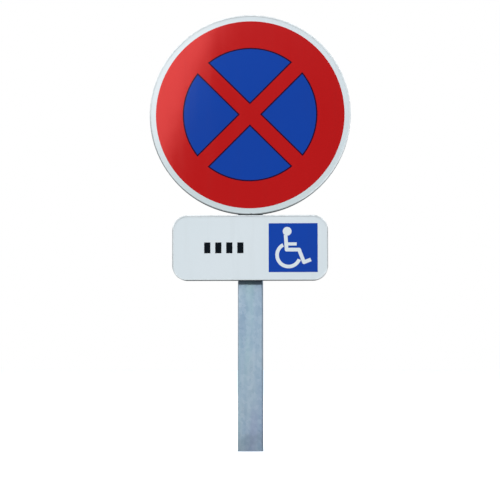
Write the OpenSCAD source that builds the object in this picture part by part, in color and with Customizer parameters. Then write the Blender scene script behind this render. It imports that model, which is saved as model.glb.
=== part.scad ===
// Signpost with a round no-stopping sign and a rectangular plate below it.
// Millimetres. The post's foot is centred on the origin, +Z is up and the signs face -Y.
// Each sign is an aluminium sheet in a crimped edge profile, with slotted rails riveted on its
// back. U-shaped straps, drawn up by T-head bolts in the rails, clamp the signs to the post.

/* [Post] */
// Width of the rectangular tube, across the signs
post_w = 80; // [60:1:110]
// Depth of the tube, from front to back
post_d = 40; // [30:1:60]
// Length of the tube, from its foot to its top
post_len = 1340; // [1320:5:1700]
// Wall of the tube
post_wall = 2; // [1.5:0.5:2.5]
// Outside corner radius of the tube
post_corner_r = 4; // [3.5:0.5:7]

/* [Post cap] */
// Thickness of the cap's top
cap_top_t = 3; // [2:0.5:6]
// Length of the skirt that goes into the tube
cap_skirt_len = 24; // [15:1:40]
// Wall of the skirt
cap_skirt_wall = 2; // [1.5:0.5:4]
// Thickness of the ribs across the skirt
cap_rib_t = 2; // [1.5:0.5:4]

/* [Round sign] */
// Outside diameter of the round sign
disc_d = 650; // [540:10:850]
// Gap between the plate's top and the round sign's lowest point
disc_gap = 2; // [2:1:40]
// Width of the white border, with the profile's lip
white_border_w = 20; // [12:1:30]
// Width of the red ring
red_ring_w = 89.5; // [50:0.5:120]
// Width of the two crossed red bars
cross_bar_w = 51; // [30:1:80]
// Distance between the two rails
disc_rail_pitch = 300; // [240:5:320]
// How far the edge profile's seam lies to the right of the lowest point
disc_seam_x = 4; // [-20:1:20]

/* [Plate] */
// Width of the plate
plate_w = 500; // [420:5:700]
// Height of the plate
plate_h = 210; // [170:1:300]
// Outside corner radius of the plate
plate_corner_r = 48; // [25:1:60]
// Height of the plate's lower edge above the post's foot
plate_bottom_z = 545; // [450:5:560]
// Side of the blue square
square_side = 157; // [100:1:160]
// Distance from the blue square to the plate's right edge
square_margin = 33; // [20:1:60]
// Width of one black mark
mark_w = 20; // [10:1:30]
// Height of one black mark
mark_h = 35; // [20:1:60]
// Distance from one black mark to the next
mark_pitch = 35.5; // [32:0.5:36]
// Number of black marks
mark_count = 4; // [2:1:4]
// Middle of the row of marks, measured from the plate's centre
marks_x = -84; // [-100:1:-80]

/* [Sheet, films and edge profile] */
// Thickness of the aluminium sheets
sheet_t = 2; // [1.5:0.5:3]
// Thickness of the white reflective film
film_t = 0.3; // [0.2:0.05:0.5]
// Thickness of the coloured films on top of it
colour_film_t = 0.2; // [0.1:0.05:0.3]
// Wall of the edge profile
edge_wall = 1.2; // [1:0.1:2]
// Width of the profile's lip over the front of the sheet
edge_front_lip = 4; // [3:0.5:8]
// Width of the profile's lip behind the sheet
edge_rear_lip = 6; // [4:0.5:10]
// Width of the profile's flange at the back
edge_flange = 12; // [8:1:14]
// How far the flange stays in front of the rails' back faces
edge_setback = 0.5; // [0.5:0.5:6]
// Gap between the profile's two ends
seam_gap = 0.8; // [0.4:0.1:2]
// Length of the joiner inside the seam
joiner_len = 60; // [40:1:90]
// Thickness of the joiner
joiner_t = 1.5; // [1:0.5:3]
// Space on each side of the joiner, between it and the profile's lips
joiner_side_gap = 0.5; // [0.3:0.1:2]

/* [Rails] */
// Depth of a rail, from the sheet to the post
rail_depth = 25; // [20:1:35]
// Width of a rail's channel
rail_w = 36; // [34:1:44]
// Wall of a rail
rail_wall = 2; // [1.5:0.5:3]
// Width of each flange against the sheet
rail_flange = 14; // [12:1:16]
// Width of the slot along a rail's back
rail_slot_w = 9; // [8.8:0.1:11]
// Distance from a rail's end to the edge profile's flange
rail_end_gap = 15; // [5:1:30]
// Distance from one rivet to the next
rivet_pitch = 130; // [80:5:150]
// Least distance from a rivet to a rail's end
rivet_end = 20; // [12:1:40]

/* [Straps and bolts] */
// Width of a strap, along the post
strap_w = 30; // [20:1:40]
// Thickness of a strap
strap_t = 3; // [2:0.5:5]
// Inside bend radius where a strap's ears turn out
strap_bend_r = 3; // [2:0.5:5]
// Corner radius at the ears' ends
ear_corner_r = 5; // [2:0.5:8]
// Distance from a strap's leg to its bolt
ear_bolt_offset = 14; // [12:1:20]
// Distance from a bolt to its ear's end
ear_end = 14; // [10:1:20]
// Gap between the ears and the rail, left for tightening
ear_gap = 3; // [1:0.5:6]
// Thread diameter of the bolts
bolt_d = 8; // [6:0.5:8.2]
// Length of the T-shaped head across the slot
bolt_head_len = 22; // [18:1:28]
// Thickness of the T-shaped head
bolt_head_t = 5; // [4:0.5:7]
// Length of thread beyond the nut
bolt_overrun = 4; // [2:0.5:8]
// Diameter of the washers
washer_d = 18; // [16:1:22]
// Thickness of the washers
washer_t = 1.6; // [1:0.1:3]
// Width of the nuts across their flats
nut_af = 13; // [12.5:0.5:15]
// Height of the nuts
nut_h = 6.5; // [5:0.5:8]
// Shank diameter of the rivets
rivet_d = 3.2; // [2.5:0.1:4]
// Head diameter of the rivets
rivet_head_d = 6; // [5:0.5:7]
// Diameter of a rivet's formed tail
rivet_tail_d = 5; // [4.5:0.5:6]
// Height of a rivet's formed tail
rivet_tail_h = 1.5; // [1:0.1:2.5]
// Height of a rivet's head where it stands out
rivet_head_h = 1; // [0.6:0.1:1.5]

/* [Clearances] */
// Between pieces that slide on one another when the bolts are slack
slide_gap = 0.3; // [0.3:0.05:1]
// Around a bolt in a strap's hole
bolt_hole_play = 0.5; // [0.2:0.1:1]
// Around a bolt's thread in its nut
thread_play = 0.05; // [0.05:0.01:0.1]
// Around a bolt in its washer
washer_play = 0.2; // [0.1:0.1:0.5]
// Around a rivet's shank
rivet_play = 0.05; // [0.03:0.01:0.1]
// Around the cap's skirt in the tube
cap_play = 0.1; // [0.05:0.05:0.3]
// Between the sheet's edge and the profile's wall
sheet_play = 0.2; // [0.1:0.1:0.5]
// Between two films that are cut to one outline
film_play = 0.1; // [0.05:0.05:0.2]
// Between a joiner and the profile's wall
joiner_play = 0.1; // [0.05:0.05:0.3]

/* [Hidden] */
$fn = 180;

// How far a cut runs past the face that it opens
past = 1;
// Length of a cut that runs right through a strap, from front to back
through = 4 * post_d;

// Heights of the two signs and of the rails
plate_z = plate_bottom_z + plate_h / 2;
disc_r = disc_d / 2;
disc_z = plate_bottom_z + plate_h + disc_gap + disc_r;
upper_z = disc_z + disc_rail_pitch / 2;
lower_z = disc_z - disc_rail_pitch / 2;

// Layers of a sign, as distances in front of the post's centre plane
rail_back = post_d / 2 + slide_gap;
sheet_back = rail_back + rail_depth;
sheet_front = sheet_back + sheet_t;
film_front = sheet_front + film_t;
edge_front = film_front + edge_wall;
edge_back = rail_back + edge_setback;
rear_lip_back = sheet_back - edge_wall;
joiner_back = edge_back + edge_wall + joiner_side_gap;
joiner_w = rear_lip_back - joiner_side_gap - joiner_back;
joiner_mid = joiner_back + joiner_w / 2;
joiner_rivet_x = joiner_len / 4;

// Rails end clear of the edge profile's flange
rail_span = rail_w + 2 * rail_flange;
disc_flange_r = disc_r - edge_flange;
disc_rail_reach = disc_rail_pitch / 2 + rail_span / 2;
disc_rail_len = 2 * (sqrt(pow(disc_flange_r, 2) - pow(disc_rail_reach, 2)) - rail_end_gap);
plate_rail_len = plate_w - 2 * (edge_flange + rail_end_gap);
rivet_line = rail_w / 2 + rail_flange / 2;

// Straps, bolts and nuts, as distances in front of the post's centre plane and from its axis
ear_front = rail_back - ear_gap;
ear_back = ear_front - strap_t;
nut_front = ear_back - washer_t;
nut_back = nut_front - nut_h;
bolt_head_back = rail_back + rail_wall + slide_gap;
bolt_neck_side = rail_slot_w - 2 * slide_gap;
leg_inner = post_w / 2 + slide_gap;
leg_outer = leg_inner + strap_t;
bolt_x = leg_outer + ear_bolt_offset;
ear_tip = bolt_x + ear_end;

// Red, blue and black shapes
red_r = disc_r - white_border_w;
blue_r = red_r - red_ring_w;
sheet_inset = edge_wall + sheet_play;
square_x = plate_w / 2 - square_margin - square_side / 2;

// The seated figure, in shares of the blue square's side from its upper left corner
symbol_head = [0.378, 0.165];
symbol_head_r = 0.089;
symbol_neck = [0.347, 0.24];
symbol_hip = [0.366, 0.541];
symbol_arm_from = [0.37, 0.425];
symbol_arm_to = [0.572, 0.425];
symbol_knee = [0.62, 0.541];
symbol_heel = [0.72, 0.80];
symbol_toe = [0.86, 0.745];
symbol_limb_w = 0.074;
symbol_arm_w = 0.064;
symbol_wheel = [0.407, 0.652];
symbol_wheel_r = 0.235;
symbol_wheel_w = 0.072;
symbol_wheel_from = 118;
symbol_wheel_to = 338;

// ---- Shared shapes ----

// Puts a shape drawn in X and Y onto the signs' plane at height z, its own +Z towards the front
module facing(z) {
    translate([0, 0, z])
        rotate([90, 0, 0])
            children();
}

// Extrudes a flat shape between two distances in front of the post's centre plane
module layer(from, to) {
    translate([0, 0, from])
        linear_extrude(to - from)
            children();
}

module rounded_rectangle(w, h, r) {
    square([w - 2 * r, h], center = true);
    square([w, h - 2 * r], center = true);
    for (x = [-1, 1], y = [-1, 1]) {
        translate([x * (w / 2 - r), y * (h / 2 - r)])
            circle(r);
    }
}

// Points along an arc of radius r, one every 15 degrees or less
function arc_points(centre, r, from, to) =
    let (step = (to - from) / ceil((to - from) / 15))
    [for (a = [from:step:to + step / 2]) centre + r * [cos(a), sin(a)]];

// Cross-section of the edge profile: X is the distance from the bend's centre, Y is to the front
module edge_section(r) {
    polygon(concat(
        arc_points([r - edge_wall, edge_back + edge_wall], edge_wall, -90, 0),
        arc_points([r - edge_wall, edge_front - edge_wall], edge_wall, 0, 90),
        [
            [r - edge_front_lip, edge_front],
            [r - edge_front_lip, film_front],
            [r - edge_wall, film_front],
            [r - edge_wall, sheet_back],
            [r - edge_rear_lip, sheet_back],
            [r - edge_rear_lip, rear_lip_back],
            [r - edge_wall, rear_lip_back],
            [r - edge_wall, edge_back + edge_wall],
            [r - edge_flange, edge_back + edge_wall],
            [r - edge_flange, edge_back]
        ]
    ));
}

// A bar from p to q with square ends
module bar(p, q, w) {
    run = q - p;
    translate(p)
        rotate(atan2(run[1], run[0]))
            translate([0, -w / 2])
                square([norm(run), w]);
}

// ---- Post ----

// The post's outline, moved out by grow
module post_outline(grow) {
    rounded_rectangle(post_w + 2 * grow, post_d + 2 * grow, post_corner_r + grow);
}

module post() {
    color("lightslategray")
        linear_extrude(post_len)
            difference() {
                post_outline(0);
                post_outline(-post_wall);
            }
}

module post_cap() {
    skirt_w = post_w - 2 * (post_wall + cap_play);
    skirt_d = post_d - 2 * (post_wall + cap_play);
    color("dimgray")
        translate([0, 0, post_len]) {
            linear_extrude(cap_top_t)
                post_outline(0);
            translate([0, 0, -cap_skirt_len])
                linear_extrude(cap_skirt_len)
                    cap_skirt_section(skirt_w, skirt_d);
        }
}

// Four walls that stay clear of the tube's corners, and two ribs that cross between them
module cap_skirt_section(w, d) {
    difference() {
        square([w, d], center = true);
        square([w - 2 * cap_skirt_wall, d - 2 * cap_skirt_wall], center = true);
        for (x = [-1, 1], y = [-1, 1]) {
            translate([x * w / 2, y * d / 2])
                square(2 * post_corner_r, center = true);
        }
    }
    square([cap_rib_t, d], center = true);
    square([w, cap_rib_t], center = true);
}

// ---- Rails and their rivets ----

module rail_section() {
    difference() {
        union() {
            translate([-rail_w / 2, rail_back])
                square([rail_w, rail_depth]);
            translate([-rail_span / 2, sheet_back - rail_wall])
                square([rail_span, rail_wall]);
        }
        translate([-rail_w / 2 + rail_wall, rail_back + rail_wall])
            square([rail_w - 2 * rail_wall, rail_depth - 2 * rail_wall]);
        translate([-rail_slot_w / 2, rail_back - past])
            square([rail_slot_w, rail_wall + 2 * past]);
    }
}

// Calls its children at each rivet of a rail of the given length
module rivet_places(len) {
    count = 1 + floor((len - 2 * rivet_end) / rivet_pitch);
    for (i = [0:count - 1], side = [-1, 1]) {
        translate([(i - (count - 1) / 2) * rivet_pitch, side * rivet_line, 0])
            children();
    }
}

module rail(z, len) {
    color("silver")
        facing(z)
            difference() {
                translate([-len / 2, 0, 0])
                    rotate([90, 0, 90])
                        linear_extrude(len)
                            rail_section();
                rivet_places(len)
                    translate([0, 0, sheet_back - rail_wall - past])
                        cylinder(h = rail_wall + 2 * past, d = rivet_d + 2 * rivet_play);
            }
}

// A rivet whose head lies flush in the sheet, with play taken up as a larger hole
module flush_rivet(play) {
    head_h = (rivet_head_d - rivet_d) / 2;
    rotate_extrude()
        polygon([
            [0, sheet_back - rail_wall],
            [rivet_d / 2 + play, sheet_back - rail_wall],
            [rivet_d / 2 + play, sheet_front - head_h],
            [rivet_head_d / 2 + play, sheet_front],
            [0, sheet_front]
        ]);
}

module rail_rivets(z, len) {
    color("gainsboro")
        facing(z)
            rivet_places(len) {
                flush_rivet(0);
                translate([0, 0, sheet_back - rail_wall - rivet_tail_h])
                    cylinder(h = rivet_tail_h, d = rivet_tail_d);
            }
}

// ---- Straps, bolts, washers and nuts ----

module strap_outline() {
    ear_y = -ear_front;
    difference() {
        union() {
            post_outline(slide_gap + strap_t);
            for (side = [0, 1]) {
                mirror([side, 0])
                    translate([leg_outer, ear_y + strap_t])
                        difference() {
                            square(strap_bend_r);
                            translate([strap_bend_r, strap_bend_r])
                                circle(strap_bend_r);
                        }
            }
            translate([-ear_tip, ear_y])
                square([2 * ear_tip, strap_t]);
        }
        post_outline(slide_gap);
        translate([-leg_inner, -through])
            square([2 * leg_inner, through]);
        translate([-ear_tip, -through])
            square([2 * ear_tip, through + ear_y]);
        for (side = [0, 1]) {
            mirror([side, 0])
                translate([leg_inner, ear_y])
                    difference() {
                        square(strap_bend_r + strap_t);
                        translate([strap_bend_r + strap_t, strap_bend_r + strap_t])
                            circle(strap_bend_r + strap_t);
                    }
        }
    }
}

module strap(z) {
    color("darkgray")
        translate([0, 0, z])
            difference() {
                intersection() {
                    translate([0, 0, -strap_w / 2])
                        linear_extrude(strap_w)
                            strap_outline();
                    rotate([90, 0, 0])
                        linear_extrude(through, center = true)
                            rounded_rectangle(2 * ear_tip, strap_w, ear_corner_r);
                }
                for (side = [-1, 1]) {
                    translate([side * bolt_x, 0, 0])
                        rotate([90, 0, 0])
                            cylinder(h = through, d = bolt_d + 2 * bolt_hole_play, center = true);
                }
            }
}

// Calls its children at both bolts of a strap
module bolt_places(z) {
    facing(z)
        for (side = [-1, 1]) {
            translate([side * bolt_x, 0, 0])
                children();
        }
}

module bolts(z) {
    color("lightgray")
        bolt_places(z) {
            layer(bolt_head_back, bolt_head_back + bolt_head_t)
                intersection() {
                    square([bolt_neck_side, bolt_head_len], center = true);
                    circle(d = bolt_head_len);
                }
            layer(rail_back, bolt_head_back)
                square(bolt_neck_side, center = true);
            layer(nut_back - bolt_overrun, rail_back)
                circle(d = bolt_d);
        }
}

module washers(z) {
    color("whitesmoke")
        bolt_places(z)
            layer(nut_front, ear_back)
                difference() {
                    circle(d = washer_d);
                    circle(d = bolt_d + 2 * washer_play);
                }
}

module nuts(z) {
    color("darkgray")
        bolt_places(z)
            layer(nut_back, nut_front)
                difference() {
                    circle(d = nut_af / cos(30), $fn = 6);
                    circle(d = bolt_d + 2 * thread_play);
                }
}

// ---- Round sign ----

module disc_panel() {
    color("silver")
        facing(disc_z)
            difference() {
                layer(sheet_back, sheet_front)
                    circle(disc_r - sheet_inset);
                for (side = [-1, 1]) {
                    translate([0, side * disc_rail_pitch / 2, 0])
                        rivet_places(disc_rail_len)
                            flush_rivet(rivet_play);
                }
            }
}

// Turns a shape made on +X to the round sign's seam
module at_disc_seam() {
    rotate([0, 0, -90 + asin(disc_seam_x / disc_r)])
        children();
}

// The two rivets of the round joiner, with their own +Z pointing out from the centre
module disc_joiner_rivet_axes() {
    turn = joiner_rivet_x / disc_r * 180 / PI;
    at_disc_seam()
        for (side = [-1, 1]) {
            rotate([0, 0, side * turn])
                translate([0, 0, joiner_mid])
                    rotate([0, 90, 0])
                        children();
        }
}

module disc_edge_profile() {
    color("gainsboro")
        facing(disc_z)
            difference() {
                rotate_extrude()
                    edge_section(disc_r);
                at_disc_seam()
                    translate([disc_r - 2 * edge_flange, -seam_gap / 2, 0])
                        cube([3 * edge_flange, seam_gap, 2 * edge_front]);
                disc_joiner_rivet_axes()
                    translate([0, 0, disc_r - 2 * edge_flange])
                        cylinder(h = 3 * edge_flange, d = rivet_d + 2 * rivet_play);
            }
}

module disc_edge_joiner() {
    turn = joiner_len / disc_r * 180 / PI;
    color("silver")
        facing(disc_z)
            difference() {
                at_disc_seam()
                    rotate([0, 0, -turn / 2])
                        rotate_extrude(angle = turn)
                            translate([disc_r - edge_wall - joiner_play - joiner_t, joiner_back])
                                square([joiner_t, joiner_w]);
                disc_joiner_rivet_axes()
                    translate([0, 0, disc_r - 2 * edge_flange])
                        cylinder(h = 3 * edge_flange, d = rivet_d + 2 * rivet_play);
            }
}

// A rivet through an edge profile of outside radius or half-height r, and its joiner
module joiner_rivet(r) {
    tail_top = r - edge_wall - joiner_play - joiner_t;
    translate([0, 0, tail_top - rivet_tail_h])
        cylinder(h = rivet_tail_h, d = rivet_tail_d);
    translate([0, 0, tail_top])
        cylinder(h = r - tail_top, d = rivet_d);
    translate([0, 0, r])
        cylinder(h = rivet_head_h, d = rivet_head_d);
}

module disc_joiner_rivets() {
    color("gainsboro")
        facing(disc_z)
            disc_joiner_rivet_axes()
                joiner_rivet(disc_r);
}

module disc_film_white() {
    color("white")
        facing(disc_z)
            layer(sheet_front, film_front)
                circle(disc_r - sheet_inset);
}

// The saltire of two bars at 45 degrees, as wide as its share of the circle of radius r
module cross_bars(r, w) {
    for (turn = [45, 135]) {
        rotate(turn)
            square([2 * r, w], center = true);
    }
}

module disc_film_red() {
    color("firebrick")
        facing(disc_z)
            layer(film_front, film_front + colour_film_t) {
                difference() {
                    circle(red_r);
                    circle(blue_r);
                }
                intersection() {
                    circle(blue_r + red_ring_w / 2);
                    cross_bars(red_r, cross_bar_w);
                }
            }
}

module disc_film_blue() {
    color("royalblue")
        facing(disc_z)
            layer(film_front, film_front + colour_film_t)
                difference() {
                    circle(blue_r - film_play);
                    cross_bars(red_r, cross_bar_w + 2 * film_play);
                }
}

// ---- Plate ----

module plate_outline(inset) {
    rounded_rectangle(plate_w - 2 * inset, plate_h - 2 * inset, plate_corner_r - inset);
}

module plate_panel() {
    color("silver")
        facing(plate_z)
            difference() {
                layer(sheet_back, sheet_front)
                    plate_outline(sheet_inset);
                rivet_places(plate_rail_len)
                    flush_rivet(rivet_play);
            }
}

// One quarter of the plate's edge: half of a long side, a corner and half of a short side
module plate_edge_quarter() {
    half_w = plate_w / 2 - plate_corner_r;
    half_h = plate_h / 2 - plate_corner_r;
    translate([half_w, half_h, 0])
        rotate_extrude(angle = 90)
            edge_section(plate_corner_r);
    translate([half_w, half_h, 0])
        rotate([90, 0, 0])
            linear_extrude(half_h)
                edge_section(plate_corner_r);
    translate([0, half_h, 0])
        rotate([90, 0, 90])
            linear_extrude(half_w)
                edge_section(plate_corner_r);
}

// The two rivets of the straight joiner, with their own +Z pointing down
module plate_joiner_rivet_axes() {
    for (side = [-1, 1]) {
        translate([side * joiner_rivet_x, 0, joiner_mid])
            rotate([90, 0, 0])
                children();
    }
}

module plate_edge_profile() {
    color("gainsboro")
        facing(plate_z)
            difference() {
                for (x = [0, 1], y = [0, 1]) {
                    mirror([x, 0, 0])
                        mirror([0, y, 0])
                            plate_edge_quarter();
                }
                translate([-seam_gap / 2, -plate_h / 2 - edge_flange, 0])
                    cube([seam_gap, 3 * edge_flange, 2 * edge_front]);
                plate_joiner_rivet_axes()
                    translate([0, 0, plate_h / 2 - 2 * edge_flange])
                        cylinder(h = 3 * edge_flange, d = rivet_d + 2 * rivet_play);
            }
}

module plate_edge_joiner() {
    color("silver")
        facing(plate_z)
            difference() {
                translate([-joiner_len / 2, -plate_h / 2 + edge_wall + joiner_play, joiner_back])
                    cube([joiner_len, joiner_t, joiner_w]);
                plate_joiner_rivet_axes()
                    translate([0, 0, plate_h / 2 - 2 * edge_flange])
                        cylinder(h = 3 * edge_flange, d = rivet_d + 2 * rivet_play);
            }
}

module plate_joiner_rivets() {
    color("gainsboro")
        facing(plate_z)
            plate_joiner_rivet_axes()
                joiner_rivet(plate_h / 2);
}

module plate_film_white() {
    color("white")
        facing(plate_z)
            layer(sheet_front, film_front)
                plate_outline(sheet_inset);
}

module plate_film_marks() {
    color("black")
        facing(plate_z)
            layer(film_front, film_front + colour_film_t)
                for (i = [0:mark_count - 1]) {
                    translate([marks_x + (i - (mark_count - 1) / 2) * mark_pitch, 0])
                        square([mark_w, mark_h], center = true);
                }
}

// Sets the figure's unit square, whose Y runs down, onto the blue square
module on_square() {
    translate([square_x - square_side / 2, square_side / 2])
        scale(square_side)
            mirror([0, 1])
                children();
}

// The seated figure on its wheel, each edge moved out by grow
module figure(grow) {
    limb_w = symbol_limb_w + 2 * grow;
    translate(symbol_head)
        circle(symbol_head_r + grow);
    bar(symbol_neck, symbol_hip, limb_w);
    bar(symbol_arm_from, symbol_arm_to, symbol_arm_w + 2 * grow);
    bar(symbol_hip, symbol_knee, limb_w);
    bar(symbol_knee, symbol_heel, limb_w);
    bar(symbol_heel, symbol_toe, limb_w);
    for (joint = [symbol_hip, symbol_knee, symbol_heel]) {
        translate(joint)
            circle(limb_w / 2);
    }
    translate(symbol_wheel)
        difference() {
            circle(symbol_wheel_r + symbol_wheel_w / 2 + grow);
            circle(symbol_wheel_r - symbol_wheel_w / 2 - grow);
            open_sector(symbol_wheel_to, 360 + symbol_wheel_from);
        }
}

// The sector that the wheel leaves open, between two angles seen from the front
module open_sector(from, to) {
    mirror([0, 1])
        polygon(concat([[0, 0]], arc_points([0, 0], 2 * symbol_wheel_r, from, to)));
}

module plate_film_symbol() {
    color("white")
        facing(plate_z)
            layer(film_front, film_front + colour_film_t)
                on_square()
                    figure(0);
}

module plate_film_blue() {
    color("royalblue")
        facing(plate_z)
            layer(film_front, film_front + colour_film_t)
                difference() {
                    translate([square_x, 0])
                        square(square_side, center = true);
                    on_square()
                        figure(film_play / square_side);
                }
}

post();
post_cap();
disc_panel();
disc_edge_profile();
disc_edge_joiner();
disc_joiner_rivets();
disc_film_white();
disc_film_red();
disc_film_blue();
rail(upper_z, disc_rail_len);  // disc_rail_upper
rail(lower_z, disc_rail_len);  // disc_rail_lower
rail_rivets(upper_z, disc_rail_len);  // disc_rail_rivets_upper
rail_rivets(lower_z, disc_rail_len);  // disc_rail_rivets_lower
strap(upper_z);  // disc_strap_upper
strap(lower_z);  // disc_strap_lower
bolts(upper_z);  // disc_bolts_upper
bolts(lower_z);  // disc_bolts_lower
washers(upper_z);  // disc_washers_upper
washers(lower_z);  // disc_washers_lower
nuts(upper_z);  // disc_nuts_upper
nuts(lower_z);  // disc_nuts_lower
plate_panel();
plate_edge_profile();
plate_edge_joiner();
plate_joiner_rivets();
plate_film_white();
plate_film_blue();
plate_film_symbol();
plate_film_marks();
rail(plate_z, plate_rail_len);  // plate_rail
rail_rivets(plate_z, plate_rail_len);  // plate_rail_rivets
strap(plate_z);  // plate_strap
bolts(plate_z);  // plate_bolts
washers(plate_z);  // plate_washers
nuts(plate_z);  // plate_nuts
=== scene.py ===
"""The looks of a signpost with a round sign and a plate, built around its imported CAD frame.

Metres throughout. The post stands on the origin, +Z is up and both signs face -Y.
"""

import math

import bmesh
import bpy
from mathutils import Matrix, Quaternion, Vector


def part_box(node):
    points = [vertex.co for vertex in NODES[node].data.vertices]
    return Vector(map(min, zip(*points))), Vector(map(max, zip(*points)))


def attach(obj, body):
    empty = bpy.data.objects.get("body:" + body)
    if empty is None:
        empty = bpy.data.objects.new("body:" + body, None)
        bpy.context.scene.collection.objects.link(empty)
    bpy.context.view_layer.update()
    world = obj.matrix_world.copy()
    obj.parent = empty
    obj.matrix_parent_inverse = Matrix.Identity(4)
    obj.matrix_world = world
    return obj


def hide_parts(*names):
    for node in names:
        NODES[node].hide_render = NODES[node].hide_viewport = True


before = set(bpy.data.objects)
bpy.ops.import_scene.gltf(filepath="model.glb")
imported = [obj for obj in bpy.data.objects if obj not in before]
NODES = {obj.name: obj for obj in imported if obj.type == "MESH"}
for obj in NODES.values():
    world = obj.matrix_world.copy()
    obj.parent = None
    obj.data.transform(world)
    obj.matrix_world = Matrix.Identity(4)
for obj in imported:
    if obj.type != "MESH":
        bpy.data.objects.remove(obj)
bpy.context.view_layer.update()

# ---- Camera: where the photographer stood, and how the lens was pointed ----
CAMERA_AWAY = 4.5
CAMERA_SIDE = 0.202
CAMERA_HEIGHT = 0.3154
CAMERA_PITCH = math.radians(4.2)
CAMERA_YAW = 0.0453
LENS_MM = 100.34
SENSOR_MM = 36.0

# ---- Sizes that the materials and the extra pieces are drawn with ----
MM = 0.001
DISC_LOW, DISC_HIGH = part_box("disc_edge_profile")
PLATE_LOW, PLATE_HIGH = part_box("plate_edge_profile")
RING_LOW, RING_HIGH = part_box("disc_film_red")
DISC_Z = (RING_LOW.z + RING_HIGH.z) / 2
SEAM_X = (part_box("disc_edge_joiner")[0].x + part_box("disc_edge_joiner")[1].x) / 2
BLUE_R = (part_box("disc_film_blue")[1].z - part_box("disc_film_blue")[0].z) / 2
BAR_HALF = 25.6 * MM
# Tops of the painted shade that greys each sign's white film towards its bottom
DISC_SHADE_TOP = DISC_Z + 0.1
PLATE_SHADE_TOP = PLATE_LOW.z + 8 * MM
SEAM_TOP = DISC_LOW.z + 12 * MM
SOILED_FOOT = 0.08


# ---- Material tools ----


class Finish:
    """One material's node tree, built with short calls. Its coordinates are the piece's own, in metres."""

    def __init__(self, name, metallic=0.0, specular=0.5):
        self.material = bpy.data.materials.new(name)
        self.material.use_nodes = True
        self.tree = self.material.node_tree
        self.shader = self.tree.nodes["Principled BSDF"]
        self.shader.inputs["Metallic"].default_value = metallic
        self.shader.inputs["Specular IOR Level"].default_value = specular
        self.place = self.node("ShaderNodeTexCoord").outputs["Object"]

    def node(self, kind, **settings):
        made = self.tree.nodes.new(kind)
        for key, value in settings.items():
            setattr(made, key, value)
        return made

    def feed(self, socket, value):
        """Links an output to a socket, or sets a plain number or colour on it."""
        if isinstance(value, bpy.types.NodeSocket):
            self.tree.links.new(value, socket)
        else:
            socket.default_value = value

    def stretched(self, stretch):
        """The piece's coordinates, scaled along each axis."""
        mapping = self.node("ShaderNodeMapping")
        self.feed(mapping.inputs["Vector"], self.place)
        mapping.inputs["Scale"].default_value = stretch
        return mapping.outputs["Vector"]

    def noise(self, scale, stretch=(1, 1, 1), detail=3.0, roughness=0.5):
        """Noise from 0 to 1 with about `scale` spots a metre."""
        made = self.node("ShaderNodeTexNoise")
        self.feed(made.inputs["Vector"], self.stretched(stretch))
        made.inputs["Scale"].default_value = scale
        made.inputs["Detail"].default_value = detail
        made.inputs["Roughness"].default_value = roughness
        return made.outputs["Fac"]

    def cells(self, scale, stretch=(1, 1, 1), feature="F1", output="Distance"):
        """A Voronoi pattern: distances to the cells, or with output="Color" a tint for each."""
        made = self.node("ShaderNodeTexVoronoi", feature=feature)
        self.feed(made.inputs["Vector"], self.stretched(stretch))
        made.inputs["Scale"].default_value = scale
        return made.outputs[output]

    def axes(self):
        """The X, Y and Z of the piece's own coordinates."""
        made = self.node("ShaderNodeSeparateXYZ")
        self.feed(made.inputs["Vector"], self.place)
        return made.outputs["X"], made.outputs["Y"], made.outputs["Z"]

    def math(self, operation, a, b=0.0):
        made = self.node("ShaderNodeMath", operation=operation)
        for socket, value in zip(made.inputs, (a, b)):
            self.feed(socket, value)
        return made.outputs["Value"]

    def between(self, value, low, high, out_low=0.0, out_high=1.0):
        """Maps low..high of a value smoothly to out_low..out_high."""
        made = self.node("ShaderNodeMapRange", interpolation_type="SMOOTHSTEP")
        for socket, number in zip(made.inputs, (value, low, high, out_low, out_high)):
            self.feed(socket, number)
        return made.outputs["Result"]

    def mix(self, factor, a, b):
        """Colour a where factor is 0, colour b where it is 1."""
        made = self.node("ShaderNodeMix", data_type="RGBA")
        self.feed(made.inputs[0], factor)
        self.feed(made.inputs[6], a)
        self.feed(made.inputs[7], b)
        return made.outputs[2]

    def edges(self, radius):
        """1 on edges sharper than the radius, 0 on flat faces: the mask for painted edge highlights."""
        rounded = self.node("ShaderNodeBevel", samples=4)
        rounded.inputs["Radius"].default_value = radius
        flat = self.node("ShaderNodeNewGeometry").outputs["Normal"]
        alike = self.node("ShaderNodeVectorMath", operation="DOT_PRODUCT")
        self.feed(alike.inputs[0], rounded.outputs["Normal"])
        self.feed(alike.inputs[1], flat)
        return self.between(alike.outputs["Value"], 0.995, 0.80)

    def hollow_shade(self, distance):
        """Mask of painted shade from ambient occlusion: 1 deep in corners and gaps, 0 in the open."""
        made = self.node("ShaderNodeAmbientOcclusion", samples=4)
        made.inputs["Distance"].default_value = distance
        return self.between(made.outputs["AO"], 0.75, 0.2)

    def bump(self, height, depth, strength=1.0):
        """Adds relief: height from 0 to 1 stands for depth metres."""
        made = self.node("ShaderNodeBump")
        self.feed(made.inputs["Height"], height)
        made.inputs["Distance"].default_value = depth
        made.inputs["Strength"].default_value = strength
        if self.shader.inputs["Normal"].is_linked:
            before = self.shader.inputs["Normal"].links[0].from_socket
            self.feed(made.inputs["Normal"], before)
        self.feed(self.shader.inputs["Normal"], made.outputs["Normal"])

    def done(self, colour, roughness):
        self.feed(self.shader.inputs["Base Color"], colour)
        self.feed(self.shader.inputs["Roughness"], roughness)
        return self.material


def paint(red, green, blue):
    """A colour as linear light, from display values between 0 and 1."""
    linear = [
        v / 12.92 if v <= 0.04045 else ((v + 0.055) / 1.055) ** 2.4 for v in (red, green, blue)
    ]
    return (*linear, 1.0)


# ---- Materials ----


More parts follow.
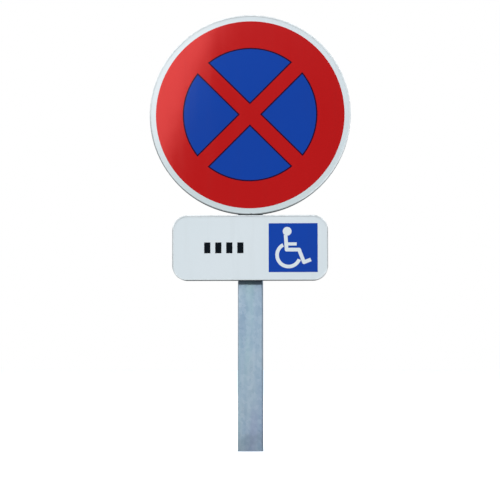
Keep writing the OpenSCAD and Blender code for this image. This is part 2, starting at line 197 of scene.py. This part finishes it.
def film(name, base, darker, grime, metallic, specular=0.5, gloss=0.085):
    """Reflective sign film: even colour, faint cells and bead grain, rain-washed grime."""
    f = Finish(name, metallic, specular)
    drift = f.noise(2.2, detail=2.0)
    streaks = f.noise(34, stretch=(1, 1, 0.07), detail=4.0, roughness=0.6)
    specks = f.noise(420, detail=2.0)
    colour = f.mix(f.between(drift, 0.3, 0.7, 0.0, 0.5), base, darker)
    dirt = f.between(streaks, 0.52, 0.78, 0.0, 0.06)
    colour = f.mix(dirt, colour, grime)
    dust = f.between(specks, 0.66, 0.80, 0.0, 0.16)
    colour = f.mix(dust, colour, grime)
    cell = f.cells(310, feature="DISTANCE_TO_EDGE")
    colour = f.mix(f.between(cell, 0.02, 0.10, 0.05, 0.0), colour, darker)
    f.bump(f.noise(900, detail=1.0), 0.02 * MM, 0.35)
    f.bump(f.noise(9, detail=1.0), 1.2 * MM, 0.12)
    return f, colour, f.between(streaks, 0.35, 0.75, gloss - 0.01, gloss + 0.02)


INK_OVERLAP = paint(0.14, 0.047, 0.17)


def from_disc_centre(f, x, z):
    """How far a point is above the round sign's centre, and how far away from it."""
    up = f.math("SUBTRACT", z, DISC_Z)
    squares = f.math("ADD", f.math("MULTIPLY", x, x), f.math("MULTIPLY", up, up))
    return up, f.math("SQRT", squares)


def blue_depth(f, bar_half):
    """How far a point is inside the blue sectors: outside them it is below zero."""
    x, _, z = f.axes()
    up, reach = from_disc_centre(f, x, z)
    inside = f.math("SUBTRACT", BLUE_R, reach)
    for sign in ("ADD", "SUBTRACT"):
        across = f.math("ABSOLUTE", f.math("MULTIPLY", f.math(sign, x, up), math.sqrt(0.5)))
        inside = f.math("MINIMUM", inside, f.math("SUBTRACT", across, bar_half))
    return inside


def white_film(name, foot, top, bar_half=0.0):
    """White film, with painted shade that greys it from `top` down to `foot`. Ink covers it along the
    edges of the bars.
    """
    f, colour, roughness = film(
        name,
        base=paint(0.875, 0.902, 0.912),
        darker=paint(0.845, 0.882, 0.892),
        grime=paint(0.62, 0.63, 0.60),
        metallic=0.03,
    )
    # Painted shade: the film darkens towards its foot, as if less light reached it there
    low = f.between(f.axes()[2], foot, top, 0.75, 0.0)
    colour = f.mix(low, colour, paint(0.79, 0.83, 0.83))
    if bar_half:
        off_edge = f.math("ABSOLUTE", blue_depth(f, bar_half))
        colour = f.mix(f.between(off_edge, 0.6 * MM, 1.2 * MM, 1.0, 0.0), colour, INK_OVERLAP)
    return f.done(colour, roughness)


def red_film(bar_half):
    """Red ink, dark where it overlaps the edge of the blue."""
    f, colour, roughness = film(
        "red_film",
        base=paint(0.81, 0.112, 0.114),
        darker=paint(0.78, 0.106, 0.108),
        grime=paint(0.45, 0.12, 0.11),
        metallic=0.22,
    )
    outside = f.math("MULTIPLY", blue_depth(f, bar_half), -1.0)
    overlap = f.between(outside, 1.6 * MM, 3.2 * MM, 1.0, 0.0)
    colour = f.mix(overlap, colour, INK_OVERLAP)
    return f.done(colour, roughness)


def disc_blue_film(bar_half):
    """Blue ink, darker along its edges where the red overlaps it."""
    f, colour, roughness = film(
        "disc_blue_film",
        base=paint(0.08, 0.26, 0.63),
        darker=paint(0.10, 0.24, 0.585),
        grime=paint(0.16, 0.23, 0.42),
        metallic=0.0,
        specular=0.2,
    )
    overlap = f.between(blue_depth(f, bar_half), 1.0 * MM, 2.8 * MM, 1.0, 0.0)
    colour = f.mix(overlap, colour, INK_OVERLAP)
    return f.done(colour, roughness)


def plate_blue_film():
    f, colour, roughness = film(
        "plate_blue_film",
        base=paint(0.09, 0.265, 0.645),
        darker=paint(0.115, 0.24, 0.58),
        grime=paint(0.18, 0.24, 0.42),
        metallic=0.0,
        specular=0.3,
    )
    return f.done(colour, roughness)


def black_film():
    f, colour, roughness = film(
        "black_film",
        base=paint(0.045, 0.07, 0.095),
        darker=paint(0.075, 0.085, 0.10),
        grime=paint(0.22, 0.23, 0.24),
        metallic=0.0,
    )
    return f.done(colour, roughness)


def lacquered_profile(seam_x, seam_top):
    """Light lacquer on the crimped edge: painted shade on its left- and down-facing sides, along the
    disc's lower-left rim and along the plate's side and bottom edges; dust on its upward faces, run marks
    and a dark stain at the seam.
    """
    f = Finish("lacquered_profile")
    x, _, z = f.axes()
    mottle = f.noise(60, detail=4.0)
    colour = f.mix(f.between(mottle, 0.35, 0.7), paint(0.88, 0.90, 0.90), paint(0.82, 0.845, 0.85))
    # Painted shade: faces turned to the left and downwards are mixed towards dark grey, as if less lit
    facing = f.node("ShaderNodeSeparateXYZ")
    f.feed(facing.inputs["Vector"], f.node("ShaderNodeNewGeometry").outputs["Normal"])
    lower_left = f.math("ADD", f.math("MULTIPLY", facing.outputs["X"], 0.7), facing.outputs["Z"])
    uneven = f.math("ADD", lower_left, f.between(mottle, 0.3, 0.7, -0.1, 0.1))
    shaded = f.between(uneven, -0.25, -0.75)
    colour = f.mix(f.math("MULTIPLY", shaded, 0.8), colour, paint(0.40, 0.42, 0.43))
    upward = f.math("ADD", facing.outputs["Z"], f.between(mottle, 0.3, 0.7, -0.2, 0.2))
    settled = f.between(upward, 0.4, 1.0)
    colour = f.mix(f.math("MULTIPLY", settled, 0.75), colour, paint(0.50, 0.51, 0.49))
    # Painted shade along the disc's outer lip on its lower left, and along the plate's side and bottom
    # edges
    up, reach = from_disc_centre(f, x, z)
    disc_r = DISC_HIGH.x
    outer = f.between(reach, disc_r - 4.4 * MM, disc_r - 2.6 * MM)
    leftwards = f.math("ADD", f.math("MULTIPLY", x, -0.5), f.math("MULTIPLY", up, -0.86))
    on_disc = f.math("GREATER_THAN", z, PLATE_HIGH.z)
    rim = f.math("MULTIPLY", outer, f.between(leftwards, 0.30 * disc_r, 0.80 * disc_r))
    rim = f.math("MULTIPLY", on_disc, rim)
    plate_r = PLATE_HIGH.x
    beside = f.between(f.math("ABSOLUTE", x), plate_r - 2.6 * MM, plate_r - 1.2 * MM)
    below = f.between(z, PLATE_LOW.z + 2.8 * MM, PLATE_LOW.z + 1.4 * MM)
    on_plate = f.math("SUBTRACT", 1.0, on_disc)
    plate_edge_shade = f.math("MULTIPLY", on_plate, f.math("MAXIMUM", beside, below))
    grey = f.math("MULTIPLY", f.math("MAXIMUM", rim, plate_edge_shade), 0.8)
    colour = f.mix(grey, colour, paint(0.38, 0.41, 0.42))
    runs = f.noise(48, stretch=(1, 1, 0.12), detail=4.0)
    colour = f.mix(f.between(runs, 0.58, 0.78, 0.0, 0.25), colour, paint(0.55, 0.56, 0.55))
    off_seam = f.math("ABSOLUTE", f.math("SUBTRACT", x, seam_x))
    low = f.between(z, seam_top, seam_top + 4 * MM, 1.0, 0.0)
    low = f.math("MULTIPLY", low, on_disc)
    seam = f.math("MULTIPLY", low, f.between(off_seam, 1.2 * MM, 2.8 * MM, 0.95, 0.0))
    colour = f.mix(seam, colour, paint(0.20, 0.20, 0.20))
    f.bump(f.noise(700, detail=2.0), 0.03 * MM, 0.5)
    return f.done(colour, f.between(mottle, 0.3, 0.7, 0.32, 0.5))


def bare_aluminium():
    """Weathered mill sheet: rolling lines, cloudy oxide, pale run marks and dull scuffs."""
    f = Finish("bare_aluminium", metallic=1.0)
    clouds = f.noise(9, detail=5.0, roughness=0.6)
    rolling = f.noise(70, stretch=(0.02, 1, 1), detail=4.0, roughness=0.65)
    runs = f.noise(40, stretch=(1, 1, 0.05), detail=4.0, roughness=0.6)
    scuffs = f.noise(160, stretch=(1, 1, 0.25), detail=5.0, roughness=0.75)
    colour = f.mix(f.between(clouds, 0.3, 0.7), paint(0.84, 0.85, 0.855), paint(0.72, 0.735, 0.75))
    colour = f.mix(f.between(rolling, 0.3, 0.7, 0.0, 0.25), colour, paint(0.60, 0.61, 0.63))
    colour = f.mix(f.between(runs, 0.56, 0.72, 0.0, 0.4), colour, paint(0.88, 0.88, 0.87))
    colour = f.mix(f.between(scuffs, 0.60, 0.74, 0.0, 0.4), colour, paint(0.50, 0.51, 0.52))
    # Painted shade: corners and gaps, such as along the rails, are darkened by how enclosed they are
    colour = f.mix(f.hollow_shade(14 * MM), colour, paint(0.36, 0.36, 0.35))
    f.bump(rolling, 0.05 * MM, 0.5)
    f.bump(f.noise(260, detail=3.0), 0.04 * MM, 0.4)
    dull = f.between(clouds, 0.3, 0.7, 0.36, 0.52)
    duller = f.between(runs, 0.5, 0.7, 0.0, 0.1)
    return f.done(colour, f.math("ADD", dull, duller))


def rail_aluminium():
    """Extruded bar: die lines along its length, cut ends, handling scuffs, painted shade in its corners
    and a painted highlight along its edges.
    """
    f = Finish("rail_aluminium", metallic=1.0)
    lines = f.noise(420, stretch=(0.01, 1, 1), detail=3.0, roughness=0.7)
    clouds = f.noise(16, detail=4.0)
    colour = f.mix(f.between(lines, 0.3, 0.7), paint(0.88, 0.89, 0.90), paint(0.76, 0.77, 0.785))
    colour = f.mix(f.between(clouds, 0.45, 0.7, 0.0, 0.4), colour, paint(0.62, 0.63, 0.65))
    # Painted shade in the rail's corners and gaps
    colour = f.mix(f.hollow_shade(8 * MM), colour, paint(0.33, 0.33, 0.33))
    # Painted highlight along the rail's edges
    colour = f.mix(f.math("MULTIPLY", f.edges(0.8 * MM), 0.6), colour, paint(0.93, 0.93, 0.93))
    f.bump(lines, 0.06 * MM, 0.6)
    return f.done(colour, f.between(clouds, 0.3, 0.7, 0.30, 0.46))


def rivet_aluminium():
    f = Finish("rivet_aluminium", metallic=1.0)
    spots = f.noise(500, detail=3.0)
    colour = f.mix(f.between(spots, 0.35, 0.7), paint(0.86, 0.87, 0.87), paint(0.66, 0.67, 0.68))
    # Painted shade in the hollows around the rivet
    colour = f.mix(f.hollow_shade(2 * MM), colour, paint(0.28, 0.28, 0.28))
    f.bump(spots, 0.05 * MM, 0.5)
    return f.done(colour, f.between(spots, 0.3, 0.7, 0.28, 0.45))


def zinc(name, light, dark, spangle_size, edge=1.2 * MM, foot=0.0):
    """Hot-dip zinc: soft vertical clouds, faint crystals, grey patina and dull spots, with painted shade
    in its corners and a painted highlight along its edges.
    """
    f = Finish(name, metallic=0.75)
    z = f.axes()[2]
    clouds = f.noise(22, stretch=(1, 1, 0.22), detail=4.0, roughness=0.55)
    streaks = f.noise(90, stretch=(1, 1, 0.05), detail=4.0, roughness=0.6)
    crystals = f.cells(1.0 / spangle_size, stretch=(1, 1, 0.8), output="Color")
    crystal = f.node("ShaderNodeSeparateColor")
    f.feed(crystal.inputs["Color"], crystals)
    colour = f.mix(f.between(clouds, 0.3, 0.7), light, dark)
    colour = f.mix(f.between(streaks, 0.35, 0.7, 0.0, 0.35), colour, dark)
    colour = f.mix(f.math("MULTIPLY", crystal.outputs["Red"], 0.12), colour, paint(0.9, 0.93, 0.95))
    spots = f.noise(260, detail=2.0)
    colour = f.mix(f.between(spots, 0.64, 0.74, 0.0, 0.35), colour, paint(0.42, 0.47, 0.50))
    # Painted shade in the zinc's corners and gaps
    colour = f.mix(f.hollow_shade(8 * MM), colour, paint(0.25, 0.27, 0.28))
    # Painted highlight along the zinc's edges
    colour = f.mix(f.math("MULTIPLY", f.edges(edge), 0.5), colour, paint(0.88, 0.90, 0.91))
    if foot:
        tint = f.noise(17, stretch=(1, 1, 0.13), detail=2.0)
        colour = f.mix(f.between(tint, 0.52, 0.68, 0.0, 0.55), colour, paint(0.585, 0.615, 0.715))
        colour = f.mix(f.between(tint, 0.46, 0.30, 0.0, 0.5), colour, paint(0.565, 0.69, 0.715))
        low = f.math("ADD", z, f.between(f.noise(30, detail=3.0), 0.3, 0.7, -0.03, 0.03))
        soil = f.between(low, foot, 0.0, 0.0, 0.32)
        colour = f.mix(soil, colour, paint(0.36, 0.42, 0.45))
    f.bump(f.noise(140, detail=3.0), 0.12 * MM, 0.35)
    f.bump(crystal.outputs["Green"], 0.02 * MM, 0.3)
    dull = f.between(clouds, 0.3, 0.7, 0.44, 0.58)
    duller = f.math("MULTIPLY", crystal.outputs["Blue"], 0.06)
    return f.done(colour, f.math("ADD", dull, duller))


def black_plastic():
    f = Finish("black_plastic")
    grain = f.noise(1400, detail=2.0)
    fade = f.noise(40, detail=3.0)
    colour = f.mix(f.between(fade, 0.3, 0.7), paint(0.13, 0.135, 0.14), paint(0.22, 0.22, 0.22))
    # Painted highlight along the cap's edges
    colour = f.mix(f.math("MULTIPLY", f.edges(0.8 * MM), 0.5), colour, paint(0.36, 0.36, 0.36))
    f.bump(grain, 0.05 * MM, 0.6)
    return f.done(colour, f.between(fade, 0.3, 0.7, 0.5, 0.68))


MATERIALS = {
    # The post's bluish grey is partly the zinc's own tone and partly a painted reflection of blue sky; its
    # 6 mm edge band is a painted highlight on its rounded corners
    "galvanised_post": zinc(
        "galvanised_post",
        light=paint(0.615, 0.69, 0.745),
        dark=paint(0.53, 0.62, 0.70),
        spangle_size=9 * MM,
        edge=6 * MM,
        foot=SOILED_FOOT,
    ),
    "galvanised_strap": zinc(
        "galvanised_strap",
        light=paint(0.80, 0.83, 0.85),
        dark=paint(0.62, 0.66, 0.69),
        spangle_size=5 * MM,
    ),
    "zinc_fastener": zinc(
        "zinc_fastener",
        light=paint(0.84, 0.84, 0.80),
        dark=paint(0.66, 0.67, 0.66),
        spangle_size=1.5 * MM,
    ),
    "black_plastic": black_plastic(),
    "bare_aluminium": bare_aluminium(),
    "rail_aluminium": rail_aluminium(),
    "rivet_aluminium": rivet_aluminium(),
    "lacquered_profile": lacquered_profile(SEAM_X, SEAM_TOP),
    "white_film": white_film("disc_white_film", DISC_LOW.z, DISC_SHADE_TOP, BAR_HALF),
    "red_film": red_film(BAR_HALF),
    "blue_film": disc_blue_film(BAR_HALF),
    "black_film": black_film(),
}
SLOT_OF = {name: node.material_slots[0].material.name for name, node in NODES.items()}


def dress_frame():
    """Gives every CAD node the material of its record's slot."""
    for name, node in NODES.items():
        node.material_slots[0].material = MATERIALS[SLOT_OF[name]]
    NODES["plate_film_blue"].material_slots[0].material = plate_blue_film()
    plate_white = white_film("plate_white_film", PLATE_LOW.z, PLATE_SHADE_TOP)
    for name in ("plate_film_white", "plate_film_symbol"):
        NODES[name].material_slots[0].material = plate_white


def soften(name, width, segments=2, angle=35):
    """Rounds a node's sharp edges with a bevel."""
    bevel = NODES[name].modifiers.new("rounded_edges", "BEVEL")
    bevel.width = width
    bevel.segments = segments
    bevel.limit_method = "ANGLE"
    bevel.angle_limit = math.radians(angle)
    bevel.use_clamp_overlap = True


# ---- Mesh tools: a skin is drawn along its own Y, as rings of (x, y, z) points ----


RING_POINTS = 32
NUT_POINTS = 48
WASHER_POINTS = 48
RIVET_POINTS = 24


def outline(half_x, half_z, corner, count=RING_POINTS):
    """The (x, z) points of a rounded rectangle, or of a circle where all three sizes are equal."""
    points = []
    for i in range(count):
        angle = 2 * math.pi * (i + 0.5) / count
        quarter = 4 * i // count
        side_x = (1, -1, -1, 1)[quarter] * (half_x - corner)
        side_z = (1, 1, -1, -1)[quarter] * (half_z - corner)
        points.append((side_x + corner * math.cos(angle), side_z + corner * math.sin(angle)))
    return points


def flat_ring(y, half_x, half_z, corner, count=RING_POINTS):
    return [(x, y, z) for x, z in outline(half_x, half_z, corner, count)]


def round_ring(y, radius, count=RING_POINTS):
    return flat_ring(y, radius, radius, radius, count)


def add_skin(bm, place, rings, closed=False):
    """Joins rings into one skin, and caps its ends unless it closes on itself like a washer."""
    loops = [[bm.verts.new(place @ Vector(point)) for point in ring] for ring in rings]
    following = loops[1:] + loops[:1] if closed else loops[1:]
    for low, high in zip(loops, following):
        for i in range(len(low)):
            j = (i + 1) % len(low)
            bm.faces.new((low[i], low[j], high[j], high[i]))
    if not closed:
        bm.faces.new(loops[0])
        bm.faces.new(loops[-1])


def finish_piece(name, bm, body, slot, replaced, sharp=32):
    """Turns the mesh into a piece with smooth faces between its sharp edges."""
    bmesh.ops.recalc_face_normals(bm, faces=bm.faces)
    for face in bm.faces:
        face.smooth = True
    for edge in bm.edges:
        edge.smooth = edge.calc_face_angle(0) < math.radians(sharp)
    mesh = bpy.data.meshes.new(name)
    bm.to_mesh(mesh)
    bm.free()
    mesh.materials.append(MATERIALS[slot])
    piece = bpy.data.objects.new(name, mesh)
    bpy.context.scene.collection.objects.link(piece)
    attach(piece, body)
    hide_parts(replaced)


# ---- Bolts, nuts, washers and rivets ----

BOLT_R = 4.0 * MM
BOLT_HEAD_T = 5.0 * MM
BOLT_NECK_T = 2.3 * MM
BOLT_NECK_HALF = 4.2 * MM
THREAD_PITCH = 1.25 * MM
THREAD_DEPTH = 0.75 * MM
THREAD_STEPS = 6
THREAD_RUNOUT = 0.7 * MM
NUT_BORE_R = 4.05 * MM
WASHER_BORE_R = 4.2 * MM
RIVET_R = 1.6 * MM
RIVET_TAIL_R = 2.5 * MM
RIVET_HEAD_R = 3.0 * MM
RIVET_COLUMNS = 4
JOINER_RIVET_OFF = 15 * MM
STRAP_EDGE = 0.5 * MM
RAIL_EDGE = 0.3 * MM
POST_EDGE = 0.4 * MM
CAP_EDGE = 0.8 * MM
CLAMPS = {"disc": ("_upper", "_lower"), "plate": ("",)}


def each_clamp():
    """The (sign, suffix) of the three clamps' node names."""
    return [(sign, suffix) for sign, suffixes in CLAMPS.items() for suffix in suffixes]


def clamp_body(sign):
    return "disc_clamps" if sign == "disc" else "plate_clamp"


def pair_places(low, high, half):
    """Where the left and right one of a pair sits, from the box around both."""
    z = (low.z + high.z) / 2
    return [Matrix.Translation((x, 0, z)) for x in (low.x + half, high.x - half)]


def thread_rings(start, end):
    """Rings of a shank whose surface winds between the thread's crest and its root."""
    rows = round((end - start) / THREAD_PITCH * THREAD_STEPS)
    rings = []
    for row in range(rows + 1):
        y = start + (end - start) * row / rows
        to_end = min(end - y, y - start)
        taper = max(0.0, 1.0 - to_end / THREAD_RUNOUT)
        ring = []
        for i in range(RING_POINTS):
            turn = (i + 0.5) / RING_POINTS
            phase = (y / THREAD_PITCH + turn) % 1.0
            valley = 1.0 - abs(2.0 * phase - 1.0)
            sunk = THREAD_DEPTH * max(min(1.15 * valley, 1.0), taper)
            reach = BOLT_R - sunk
            angle = 2 * math.pi * turn
            ring.append((reach * math.cos(angle), y, reach * math.sin(angle)))
        rings.append(ring)
    return rings


def make_bolts(sign, suffix):
    """T-head bolts: a hammer head with rounded edges, a square neck and a cut thread."""
    node = f"{sign}_bolts{suffix}"
    low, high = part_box(node)
    front, end = low.y, high.y
    head_back = front + BOLT_HEAD_T
    neck_back = head_back + BOLT_NECK_T
    long_half = (high.z - low.z) / 2
    bm = bmesh.new()
    for place in pair_places(low, high, BOLT_NECK_HALF):
        soft = 0.6 * MM
        rings = [
            flat_ring(front, BOLT_NECK_HALF - soft, long_half - soft, soft),
            flat_ring(front + 0.25 * soft, BOLT_NECK_HALF - 0.2 * soft, long_half - 0.2 * soft, 2 * soft),
            flat_ring(front + soft, BOLT_NECK_HALF, long_half, 2 * soft),
            flat_ring(head_back - soft, BOLT_NECK_HALF, long_half, 2 * soft),
            flat_ring(head_back, BOLT_NECK_HALF - 0.5 * soft, long_half - 0.5 * soft, soft),
            flat_ring(head_back, BOLT_NECK_HALF - 0.5 * soft, BOLT_NECK_HALF, soft),
            flat_ring(neck_back - soft, BOLT_NECK_HALF - 0.5 * soft, BOLT_NECK_HALF, soft),
            flat_ring(neck_back, BOLT_NECK_HALF - soft, BOLT_NECK_HALF - soft, 2 * soft),
        ]
        rings += thread_rings(neck_back, end)
        add_skin(bm, place, rings)
    finish_piece(f"{node}_threaded", bm, clamp_body(sign), "zinc_fastener", node, sharp=40)


def make_nuts(sign, suffix):
    """Hexagon nuts with chamfered corners and countersunk bores."""
    node = f"{sign}_nuts{suffix}"
    low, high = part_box(node)
    count = NUT_POINTS
    half = (high.z - low.z) / 2
    corner = half / math.cos(math.pi / 6)
    face_r = 0.965 * half
    lean = math.tan(math.radians(30))

    def across(i):
        """The nut's reach from its axis in the direction of point i."""
        off_flat = math.pi * ((2 * i / count * 3) % 1.0 - 0.5) / 3
        return half / math.cos(off_flat)

    def hexagon(y, inward):
        ring = []
        for i in range(count):
            angle = 2 * math.pi * i / count
            reach = across(i)
            drop = (reach - face_r) * lean
            ring.append((reach * math.cos(angle), y + inward * drop, reach * math.sin(angle)))
        return ring

    def circle(y, radius):
        turns = [2 * math.pi * i / count for i in range(count)]
        return [(radius * math.cos(a), y, radius * math.sin(a)) for a in turns]

    sink = 0.45 * MM
    bm = bmesh.new()
    for place in pair_places(low, high, corner):
        rings = [
            circle(low.y + sink, NUT_BORE_R),
            circle(low.y, NUT_BORE_R + sink),
            circle(low.y, face_r),
            hexagon(low.y, 1),
            hexagon(high.y, -1),
            circle(high.y, face_r),
            circle(high.y, NUT_BORE_R + sink),
            circle(high.y - sink, NUT_BORE_R),
        ]
        add_skin(bm, place, rings, closed=True)
    finish_piece(f"{node}_chamfered", bm, clamp_body(sign), "zinc_fastener", node, sharp=20)


def make_washers(sign, suffix):
    """Stamped washers: one face rounded over at the rim, the other flat."""
    node = f"{sign}_washers{suffix}"
    low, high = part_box(node)
    radius = (high.z - low.z) / 2
    bm = bmesh.new()
    for place in pair_places(low, high, radius):
        rings = [
            round_ring(low.y + 0.2 * MM, WASHER_BORE_R, WASHER_POINTS),
            round_ring(low.y, WASHER_BORE_R + 0.2 * MM, WASHER_POINTS),
            round_ring(low.y, radius - 0.15 * MM, WASHER_POINTS),
            round_ring(low.y + 0.15 * MM, radius, WASHER_POINTS),
            round_ring(high.y - 0.5 * MM, radius, WASHER_POINTS),
            round_ring(high.y - 0.15 * MM, radius - 0.18 * MM, WASHER_POINTS),
            round_ring(high.y, radius - 0.6 * MM, WASHER_POINTS),
            round_ring(high.y, WASHER_BORE_R + 0.35 * MM, WASHER_POINTS),
            round_ring(high.y - 0.35 * MM, WASHER_BORE_R, WASHER_POINTS),
        ]
        add_skin(bm, place, rings, closed=True)
    finish_piece(f"{node}_stamped", bm, clamp_body(sign), "zinc_fastener", node, sharp=50)


def make_rail_rivets(sign, suffix):
    """Countersunk in the sheet's front, and set to a dome with a dimple behind the rail's flange."""
    node = f"{sign}_rail_rivets{suffix}"
    low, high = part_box(node)
    sink = RIVET_HEAD_R - RIVET_R
    tail = high.y - 1.5 * MM
    first = Vector((low.x + RIVET_HEAD_R, 0, low.z + RIVET_HEAD_R))
    last = Vector((high.x - RIVET_HEAD_R, 0, high.z - RIVET_HEAD_R))
    profile = [
        (low.y, RIVET_HEAD_R),
        (low.y + sink, RIVET_R),
        (tail, RIVET_R),
        (tail, RIVET_TAIL_R),
        (tail + 0.45 * MM, RIVET_TAIL_R),
        (tail + 0.85 * MM, 0.92 * RIVET_TAIL_R),
        (tail + 1.2 * MM, 0.74 * RIVET_TAIL_R),
        (tail + 1.42 * MM, 0.5 * RIVET_TAIL_R),
        (high.y, 0.3 * RIVET_TAIL_R),
        (high.y - 0.25 * MM, 0.16 * RIVET_TAIL_R),
    ]
    bm = bmesh.new()
    for column in range(RIVET_COLUMNS):
        x = first.x + (last.x - first.x) * column / (RIVET_COLUMNS - 1)
        for z in (first.z, last.z):
            rings = [round_ring(y, radius, RIVET_POINTS) for y, radius in profile]
            add_skin(bm, Matrix.Translation((x, 0, z)), rings)
    finish_piece(f"{node}_set", bm, f"{sign}_sign", "rivet_aluminium", node, sharp=40)


def make_joiner_rivets(sign, middle, rim_r):
    """Blind rivets up through the rim, with domed heads. A straight rim has rim_r 0."""
    node = f"{sign}_joiner_rivets"
    low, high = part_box(node)
    profile = [
        (-4.3 * MM, 0.6 * RIVET_TAIL_R),
        (-3.9 * MM, RIVET_TAIL_R),
        (-2.8 * MM, RIVET_TAIL_R),
        (-2.8 * MM, RIVET_R),
        (0.0, RIVET_R),
        (0.0, RIVET_HEAD_R),
        (0.3 * MM, RIVET_HEAD_R),
        (0.65 * MM, 0.88 * RIVET_HEAD_R),
        (0.9 * MM, 0.66 * RIVET_HEAD_R),
        (1.0 * MM, 0.36 * RIVET_HEAD_R),
        (0.5 * MM, 0.30 * RIVET_HEAD_R),
    ]
    bm = bmesh.new()
    for side in (-1, 1):
        along = middle + side * JOINER_RIVET_OFF
        place = Matrix.Translation((along, (low.y + high.y) / 2, PLATE_LOW.z))
        if rim_r:
            lean = along / rim_r
            outward = Vector((math.sin(lean), 0, -math.cos(lean))) * rim_r
            place = Matrix.Translation(outward + Vector((0, (low.y + high.y) / 2, DISC_Z)))
            place = place @ Matrix.Rotation(-lean, 4, "Y")
        rings = [round_ring(y, radius, RIVET_POINTS) for y, radius in profile]
        add_skin(bm, place @ Matrix.Rotation(-math.pi / 2, 4, "X"), rings)
    finish_piece(f"{node}_domed", bm, f"{sign}_sign", "rivet_aluminium", node, sharp=40)


make_joiner_rivets("disc", SEAM_X, DISC_HIGH.x)
make_joiner_rivets("plate", 0.0, 0.0)
for clamp in each_clamp():
    make_bolts(*clamp)
    make_nuts(*clamp)
    make_washers(*clamp)
    make_rail_rivets(*clamp)
dress_frame()
for strap in ("disc_strap_upper", "disc_strap_lower", "plate_strap"):
    soften(strap, STRAP_EDGE)
for rail in ("disc_rail_upper", "disc_rail_lower", "plate_rail"):
    soften(rail, RAIL_EDGE)
soften("post", POST_EDGE, angle=60)
soften("post_cap", CAP_EDGE, angle=60)


# ---- Stage, lights and camera ----

# The floor looks pale, and throws back only as much light as grey paving would
FLOOR_BOUNCE = (0.12, 0.12, 0.12, 1)
FLOOR_SIZE = 40.0
FRONT_HORIZON = (0.03, 0.035, 0.04, 1)
SIDE_HORIZON = (0.90, 0.90, 0.89, 1)
SKY = (1.10, 1.22, 1.36, 1)
SEEN_BACKDROP = (1, 1, 1, 1)


def make_floor():
    mesh = bpy.data.meshes.new("floor")
    half = FLOOR_SIZE / 2
    corners = [(-half, -half, 0), (half, -half, 0), (half, half, 0), (-half, half, 0)]
    mesh.from_pydata(corners, [], [(0, 1, 2, 3)])
    floor = bpy.data.objects.new("floor", mesh)
    bpy.context.scene.collection.objects.link(floor)
    f = Finish("floor_paint", specular=0.0)
    seen = f.node("ShaderNodeLightPath").outputs["Is Camera Ray"]
    pale = f.mix(f.noise(3.0), (0.93, 0.93, 0.93, 1), (0.96, 0.96, 0.96, 1))
    floor.data.materials.append(f.done(f.mix(seen, FLOOR_BOUNCE, pale), 0.9))


def make_softbox(name, place, aim, width, height, watts, colour, roll=0.0):
    light = bpy.data.lights.new(name, "AREA")
    light.shape = "RECTANGLE"
    light.size = width
    light.size_y = height
    light.energy = watts
    light.color = colour
    box = bpy.data.objects.new(name, light)
    box.location = place
    facing = (Vector(aim) - Vector(place)).to_track_quat("-Z", "Y")
    box.rotation_euler = (facing @ Quaternion((0, 0, 1), math.radians(roll))).to_euler()
    box.visible_camera = False
    bpy.context.scene.collection.objects.link(box)


def world_rise(tree, value, low, high):
    """Rises smoothly from 0 to 1 while the value goes from low to high."""
    rise = tree.nodes.new("ShaderNodeMapRange")
    rise.interpolation_type = "SMOOTHSTEP"
    tree.links.new(value, rise.inputs["Value"])
    rise.inputs["From Min"].default_value = low
    rise.inputs["From Max"].default_value = high
    return rise.outputs["Result"]


def world_mix(tree, factor, first, second):
    """The first colour, a tuple or an output, blended into the second one, a tuple."""
    blend = tree.nodes.new("ShaderNodeMix")
    blend.data_type = "RGBA"
    tree.links.new(factor, blend.inputs[0])
    if isinstance(first, tuple):
        blend.inputs[6].default_value = first
    else:
        tree.links.new(first, blend.inputs[6])
    blend.inputs[7].default_value = second
    return blend.outputs[2]


def make_world():
    """White to the camera. As light: a pale sky, a dark horizon in front, pale sides and back."""
    world = bpy.data.worlds.new("studio")
    bpy.context.scene.world = world
    world.use_nodes = True
    tree = world.node_tree
    background = tree.nodes["Background"]
    place = tree.nodes.new("ShaderNodeTexCoord")
    split = tree.nodes.new("ShaderNodeSeparateXYZ")
    tree.links.new(place.outputs["Generated"], split.inputs["Vector"])
    behind = world_rise(tree, split.outputs["Y"], -0.45, 0.15)
    horizon = world_mix(tree, behind, FRONT_HORIZON, SIDE_HORIZON)
    light = world_mix(tree, world_rise(tree, split.outputs["Z"], 0.16, 0.55), horizon, SKY)
    seen = tree.nodes.new("ShaderNodeLightPath").outputs["Is Camera Ray"]
    tree.links.new(world_mix(tree, seen, light, SEEN_BACKDROP), background.inputs["Color"])
    background.inputs["Strength"].default_value = 1.0


def make_camera():
    lens = bpy.data.cameras.new("camera")
    lens.lens = LENS_MM
    lens.sensor_width = SENSOR_MM
    camera = bpy.data.objects.new("camera", lens)
    camera.location = (CAMERA_SIDE, -CAMERA_AWAY, CAMERA_HEIGHT)
    camera.rotation_euler = (math.pi / 2 + CAMERA_PITCH, 0.0, CAMERA_YAW)
    bpy.context.scene.collection.objects.link(camera)
    bpy.context.scene.camera = camera


bpy.context.scene.view_settings.view_transform = "Standard"
make_floor()
make_world()
make_softbox(
    "key",
    place=(-1.92, -6.5, 2.7),
    aim=(-1.92, 0.0, 2.7),
    width=2.4,
    height=3.2,
    watts=40,
    colour=(1.0, 0.96, 0.89),
    roll=-20,
)
make_softbox(
    "front",
    place=(-5.0, -16.0, 7.9),
    aim=(0.0, 0.0, 1.0),
    width=6.0,
    height=1.4,
    watts=1950,
    colour=(1.0, 0.99, 0.98),
)
make_softbox(
    "rear",
    place=(1.7, 4.4, 2.8),
    aim=(0.0, 0.0, 0.9),
    width=2.2,
    height=2.2,
    watts=150,
    colour=(1.0, 0.99, 0.97),
)
make_camera()
